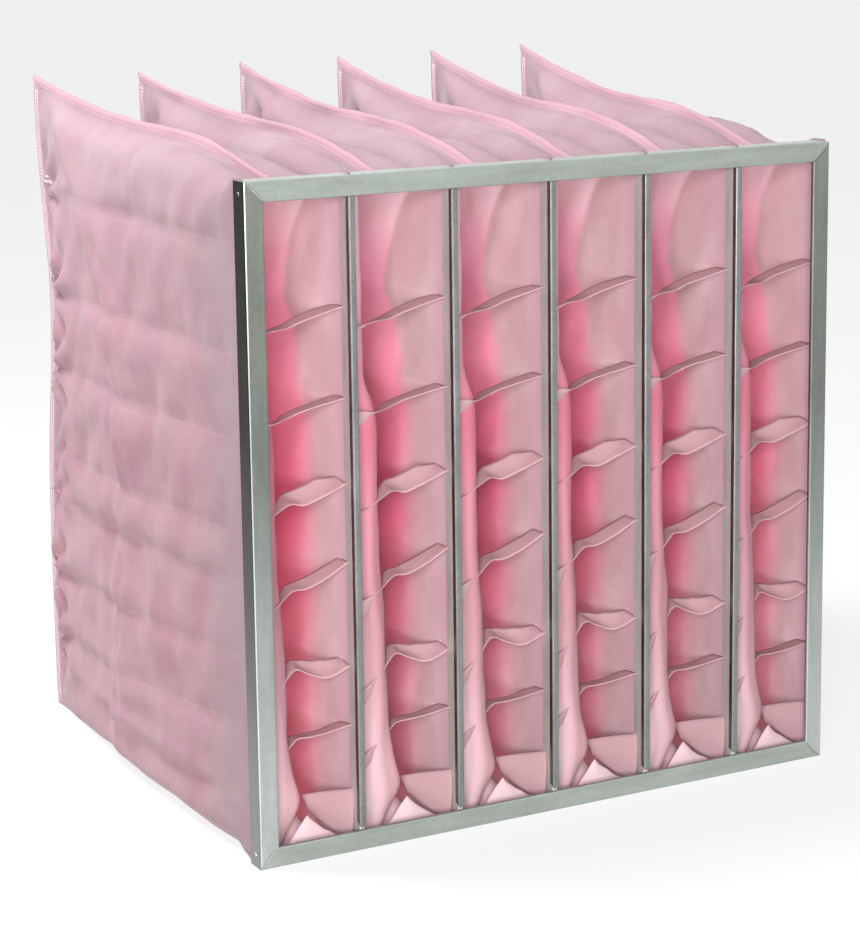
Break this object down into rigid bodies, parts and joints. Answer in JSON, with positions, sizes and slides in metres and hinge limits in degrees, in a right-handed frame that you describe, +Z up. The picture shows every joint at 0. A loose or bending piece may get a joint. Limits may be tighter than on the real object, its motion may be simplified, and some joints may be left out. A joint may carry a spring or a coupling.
{
  "type": "bag air filter",
  "caption": "Bag air filter with a square galvanised steel header and tapered pink fabric pockets that fan out behind it",
  "frame": {"origin": "under the middle of the header's lower rail, halfway through the header's depth", "axes": "X along the header's width, +Y the way the air flows, from the open mouths to the sewn rear ends, +Z up"},
  "size_m": [0.6074, 0.534, 0.6497],
  "materials": {
    "header": "galvanised sheet, satin",
    "pocket_frame": "thin galvanised sheet, dull",
    "joining_clip": "galvanised strip, satin",
    "pocket_fabric": "matte nonwoven filter fabric, pink",
    "spacer_fabric": "matte nonwoven strip, pink"
  },
  "bodies": {
    "root": {"header": "header", "pocket_frame_1": "pocket_frame", "pocket_frame_2": "pocket_frame", "pocket_frame_3": "pocket_frame", "pocket_frame_4": "pocket_frame", "pocket_frame_5": "pocket_frame", "pocket_frame_6": "pocket_frame", "joining_clip_1": "joining_clip", "joining_clip_2": "joining_clip", "joining_clip_3": "joining_clip", "joining_clip_4": "joining_clip", "joining_clip_5": "joining_clip", "pocket_1_left": "pocket_fabric", "pocket_1_right": "pocket_fabric", "pocket_2_left": "pocket_fabric", "pocket_2_right": "pocket_fabric", "pocket_3_left": "pocket_fabric", "pocket_3_right": "pocket_fabric", "pocket_4_left": "pocket_fabric", "pocket_4_right": "pocket_fabric", "pocket_5_left": "pocket_fabric", "pocket_5_right": "pocket_fabric", "pocket_6_left": "pocket_fabric", "pocket_6_right": "pocket_fabric", "spacer_1_1": "spacer_fabric", "spacer_1_2": "spacer_fabric", "spacer_1_3": "spacer_fabric", "spacer_1_4": "spacer_fabric", "spacer_1_5": "spacer_fabric", "spacer_1_6": "spacer_fabric", "spacer_2_1": "spacer_fabric", "spacer_2_2": "spacer_fabric", "spacer_2_3": "spacer_fabric", "spacer_2_4": "spacer_fabric", "spacer_2_5": "spacer_fabric", "spacer_2_6": "spacer_fabric", "spacer_3_1": "spacer_fabric", "spacer_3_2": "spacer_fabric", "spacer_3_3": "spacer_fabric", "spacer_3_4": "spacer_fabric", "spacer_3_5": "spacer_fabric", "spacer_3_6": "spacer_fabric", "spacer_4_1": "spacer_fabric", "spacer_4_2": "spacer_fabric", "spacer_4_3": "spacer_fabric", "spacer_4_4": "spacer_fabric", "spacer_4_5": "spacer_fabric", "spacer_4_6": "spacer_fabric", "spacer_5_1": "spacer_fabric", "spacer_5_2": "spacer_fabric", "spacer_5_3": "spacer_fabric", "spacer_5_4": "spacer_fabric", "spacer_5_5": "spacer_fabric", "spacer_5_6": "spacer_fabric", "spacer_6_1": "spacer_fabric", "spacer_6_2": "spacer_fabric", "spacer_6_3": "spacer_fabric", "spacer_6_4": "spacer_fabric", "spacer_6_5": "spacer_fabric", "spacer_6_6": "spacer_fabric"}
  },
  "joints": []
}
